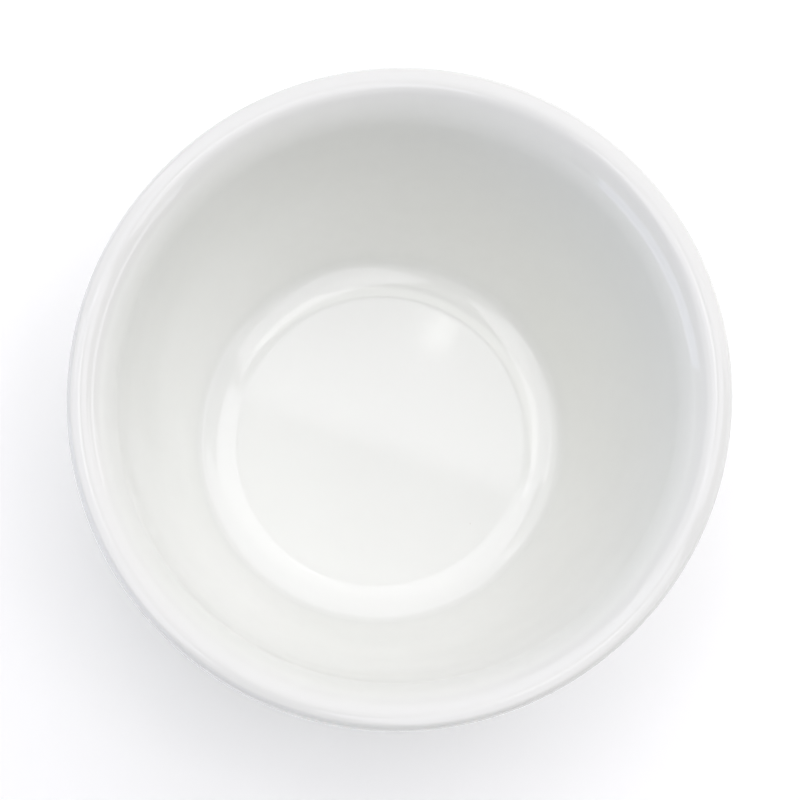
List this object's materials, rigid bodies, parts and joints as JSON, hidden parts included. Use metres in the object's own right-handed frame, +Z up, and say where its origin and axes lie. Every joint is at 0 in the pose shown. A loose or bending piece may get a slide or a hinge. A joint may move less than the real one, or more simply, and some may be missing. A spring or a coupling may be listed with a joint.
{
  "type": "evaporating dish",
  "caption": "Round flat-bottomed porcelain evaporating dish with a steep glazed wall, a flared rounded lip and a bare foot ring.",
  "frame": {"origin": "centre of the foot ring's standing face", "axes": "+Z up along the dish's axis of revolution; X and Y are any two square directions in the standing plane"},
  "size_m": [0.09, 0.09, 0.038],
  "materials": {
    "biscuit": "bare fired porcelain, matt and slightly grainy",
    "glaze": "clear white glaze, smooth and glossy"
  },
  "bodies": {
    "root": {"porcelain_body": "biscuit", "glaze_coat": "glaze"}
  },
  "joints": []
}
